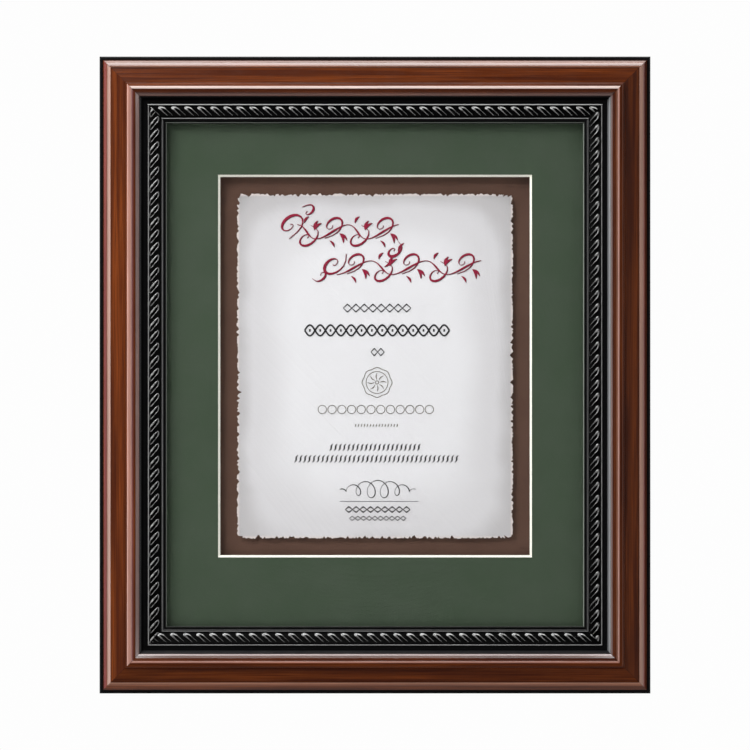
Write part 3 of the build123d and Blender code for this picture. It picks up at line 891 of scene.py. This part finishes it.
def scroll(across, up, reach, turns, start, hand, weight, slant=0.45):
    """A stroke that winds in to its eye and swells at its shoulder."""
    stroke = []
    steps = int(turns * 9)
    for step in range(steps + 1):
        share = step / steps
        angle = start + hand * 2 * pi * turns * share
        radius = reach * (1 - share) ** 0.85 + 0.35
        rise = radius * sin(angle)
        half = weight * (0.12 + 1.08 * sin(pi * min(1, 1.25 * share)) ** 3) + 0.08
        stroke.append((across + radius * cos(angle) + slant * rise, up + rise, half))
    stroke.append((stroke[-1][0] + 0.1, stroke[-1][1], weight * 1.15))
    return stroke


def leaf(across, up, length, angle, weight):
    """A leaf-shaped dab, pointed at both ends."""
    dab = []
    for share in (0, 0.3, 0.65, 1):
        bend = 0.16 * length * sin(pi * share)
        place_x = across + length * share * cos(angle) - bend * sin(angle)
        place_z = up + length * share * sin(angle) + bend * cos(angle)
        dab.append((place_x, place_z, 0.08 + weight * sin(pi * share)))
    return dab


def vine(start, end, up, reach, count, first):
    """A slanted stem with scrolls thrown off to either side in turn, and leaves between."""
    strokes = []
    spacing = (end - start) / count
    stem = []
    for step in range(count * 6 + 1):
        share = step / (count * 6)
        across = start + (end - start) * share
        swing = first * cos(pi * (across - start) / spacing)
        rise = 0.42 * reach * swing
        stem.append((across + 0.45 * rise, up + rise, 0.2 + 0.5 * (1 - abs(swing))))
    strokes.append(stem)
    for number in range(count):
        side = first * (-1) ** number
        across = start + spacing * (number + 0.5)
        eye = up - 0.35 * side * reach
        strokes.append(scroll(across, eye, reach * 0.7, 1.25, side * 1.7, -side, 0.6))
        foot = up + 0.1 * side * reach
        for tilt in (0.75, 1.2):
            strokes.append(leaf(across + 0.3 * spacing, foot, 7.5, side * tilt, 0.95))
        tip = up + 0.5 * side * reach
        strokes.append(leaf(across - 0.1 * spacing, tip, 6, side * 0.95, 0.85))
    return strokes


def lattice(start, end, up, tall, waves, weight):
    """Two strands that cross over and over, with a dot in every eye."""
    strokes = []
    steps = waves * 6
    for phase in (1, -1):
        strand = []
        for step in range(steps + 1):
            share = step / steps
            rise = phase * 0.5 * tall * sin(pi * waves * share)
            strand.append((start + (end - start) * share, up + rise, weight))
        strokes.append(strand)
    for number in range(waves):
        across = start + (end - start) * (number + 0.5) / waves
        strokes.append([(across, up + 0.12 * tall, weight), (across, up - 0.12 * tall, weight)])
    return strokes


def reeds(start, end, up, tall, count, weight, lean=0.25):
    """A row of slanted reeds, each swelling at its waist."""
    strokes = []
    for number in range(count):
        across = start + (end - start) * (number + 0.5) / count
        curl = lean * tall
        strokes.append(
            [
                (across - curl, up - 0.5 * tall, weight * 0.3),
                (across + 0.4 * curl, up - 0.2 * tall, weight),
                (across - 0.4 * curl, up + 0.2 * tall, weight),
                (across + curl, up + 0.5 * tall, weight * 0.3),
            ]
        )
    return strokes


def lozenges(start, end, up, tall, count, weight):
    """A row of open lozenges, point to point."""
    strokes = []
    wide = (end - start) / count
    for number in range(count):
        left = start + wide * number
        middle = left + wide / 2
        for side in (1, -1):
            peak = (middle, up + side * tall / 2, weight)
            strokes.append([(left, up, weight * 0.5), peak, peak, (left + wide, up, weight * 0.5)])
    return strokes


def ring(across, up, reach, weight, lobes=0, depth=0.0):
    """A closed ring, scalloped if it has lobes."""
    stroke = []
    steps = 48
    for step in range(steps + 1):
        angle = 2 * pi * step / steps
        radius = reach + depth * cos(lobes * angle)
        stroke.append((across + radius * cos(angle), up + radius * sin(angle), weight))
    return stroke


crimson_ink = ink("crimson_ink", 142, 0, 48)
shadow_ink = ink("shadow_ink", 50, 10, 24)
black_ink = ink("black_ink", 16, 16, 19)
gold_ink = ink("gold_ink", 92, 86, 68)
upper_vine = vine(-60, 15, 106, 13, 4, 1)
upper_vine += [scroll(-63, 111, 10.5, 1.4, -1.2, 1, 0.78), scroll(-50, 121, 6, 0.9, 2.6, -1, 0.6)]
lower_vine = vine(-26, 76, 79.5, 12.5, 5, -1)
lower_vine += [scroll(-31, 82, 9.5, 1.4, 0.9, -1, 0.78), scroll(-40, 74, 5.5, 0.9, 3.6, 1, 0.6)]
sprig = [
    scroll(13.5, 92, 6.5, 1.2, 1.5, -1, 0.8), leaf(17, 91, 8, 1.0, 0.8), leaf(12, 86, 8, 4.0, 0.8)
]
heading = upper_vine + lower_vine + sprig
drop = [
    [(across + 0.35, up - 0.3, half * 1.05) for across, up, half in stroke] for stroke in heading
]
print_strokes("print_heading_shadow", drop, shadow_ink)
print_strokes("print_heading", heading, crimson_ink, layer=2)
# The rows, in millimetres: from and to across, the height that they lie at, how tall they are,
# how many, and half a stroke's width.
print_strokes(
    "print_black_rows",
    lozenges(-23.5, 26.5, 49.5, 5.8, 8, 0.46)
    + lattice(-52, 55, 33, 8.2, 14, 0.62)
    + lozenges(-3, 6.8, 17, 5.4, 2, 0.42)
    + reeds(-34, 34, -53.5, 5.0, 21, 0.55)
    + reeds(-60, 62, -62, 5.4, 37, 0.55)
    + lozenges(-22, 26, -99.5, 4.2, 9, 0.46)
    + lozenges(-19, 23, -106, 3.2, 10, 0.3),
    black_ink,
)
seal_x = 1.5
seal_z = -5.5
petals = 8
petal_foot = 1.9
seal = [
    ring(seal_x, seal_z, 10.7, 0.24, petals, 0.45),
    ring(seal_x, seal_z, 8.1, 0.22),
    ring(seal_x, seal_z, 1.2, 0.24),
]
for petal in range(petals):
    angle = petal * 2 * pi / petals
    foot_x = seal_x + petal_foot * cos(angle)
    foot_z = seal_z + petal_foot * sin(angle)
    seal.append(leaf(foot_x, foot_z, 5.2, angle, 0.3))
gold_rings = [ring(-39 + 7.2 * number, -25.5, 3.1, 0.22) for number in range(12)]
print_strokes(
    "print_gold", seal + gold_rings + reeds(-15.5, 17.5, -37.3, 2.2, 15, 0.3), gold_ink
)
flourish = []
flourish_loops = 6
flourish_steps = 12 * flourish_loops
for step in range(flourish_steps + 1):
    share = step / flourish_steps
    swell = sin(pi * share)
    turn = 2 * pi * flourish_loops * share
    across = 2 + 56 * (share - 0.5) + 5.5 * swell * sin(turn)
    flourish.append((across, -84.5 + 6.8 * swell * cos(turn), 0.14 + 0.22 * (1 + sin(turn)) / 2))
print_strokes("print_flourish", [flourish, [(-26, -93.5, 0.16), (32, -93.5, 0.16)]], black_ink)

# The backing board
# A sheet of hardboard, smooth side out, that presses the pack against the liners' lip.
hardboard, tree, shader, point = finish("hardboard")
fibre = use_group(tree, paper_fibre, point=point, fineness=420)
face = between(tree, fibre["Mottle"], paint(112, 78, 50), paint(128, 92, 60))
face = between(tree, arithmetic(tree, "MULTIPLY", fibre["Fibres"], 0.5), face, paint(84, 56, 36))
dusty = use_group(tree, settled_dust, point=point, amount=0.2)["Dust"]
face = between(tree, dusty, face, paint(180, 170, 155))
put(shader, tree, "Base Color", face)
put(shader, tree, "Roughness", spread(tree, fibre["Mottle"], 0, 1, 0.5, 0.66))
raised(tree, shader, fibre["Fibres"], 0.05 * mm)
dress("backing_board", hardboard)

# The corner nails, turn buttons, hangers and screws
# Blued steel V-nails pressed across the mitres, and zinc-plated stampings held by pan-head
# screws. The turn buttons swing clear of the backing, and each ring swings on its strap.
def plated_metal(name, tint, dark, roughness):
    """Plated sheet metal with a faint spangle and handling marks."""
    made, tree, shader, point = finish(name)
    spangle = node(tree, "TexVoronoi", {"Vector": point, "Scale": 420}).outputs["Color"]
    spangle = node(tree, "SeparateXYZ", {0: spangle}).outputs["X"]
    marks = spread(tree, cloud(tree, point, 240, 6, 0.65), 0.45, 0.75)
    colour = between(tree, arithmetic(tree, "MULTIPLY", spangle, 0.35), tint, dark)
    colour = between(tree, arithmetic(tree, "MULTIPLY", marks, 0.5), colour, dark)
    put(shader, tree, "Base Color", colour)
    put(shader, tree, "Roughness", spread(tree, marks, 0, 1, roughness, roughness + 0.2))
    shader.inputs["Metallic"].default_value = 1
    raised(tree, shader, marks, 0.02 * mm)
    return made


zinc_plate = plated_metal("zinc_plate", paint(196, 197, 196), paint(132, 134, 136), 0.3)
nail_steel = plated_metal("nail_steel", paint(120, 122, 128), paint(62, 62, 68), 0.35)
for name in ("rail_v_nails", "liner_v_nails"):
    dress(name, nail_steel)
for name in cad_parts:
    if name.startswith(("turn_button", "hanger")):
        dress(name, zinc_plate)

# The bumpers
# Four round pads of soft dark rubber, glued near the corners to keep the back off the wall.
bumper_rubber, tree, shader, point = finish("bumper_rubber")
grit = spread(tree, cloud(tree, point, 1500, 5), 0.3, 0.7)
dusty = use_group(tree, settled_dust, point=point, amount=0.35)["Dust"]
rubber = between(tree, grit, paint(30, 30, 31), paint(44, 43, 42))
put(shader, tree, "Base Color", between(tree, dusty, rubber, paint(120, 116, 110)))
put(shader, tree, "Roughness", spread(tree, grit, 0, 1, 0.6, 0.75))
raised(tree, shader, grit, 0.05 * mm)
dress("wall_bumpers", bumper_rubber)
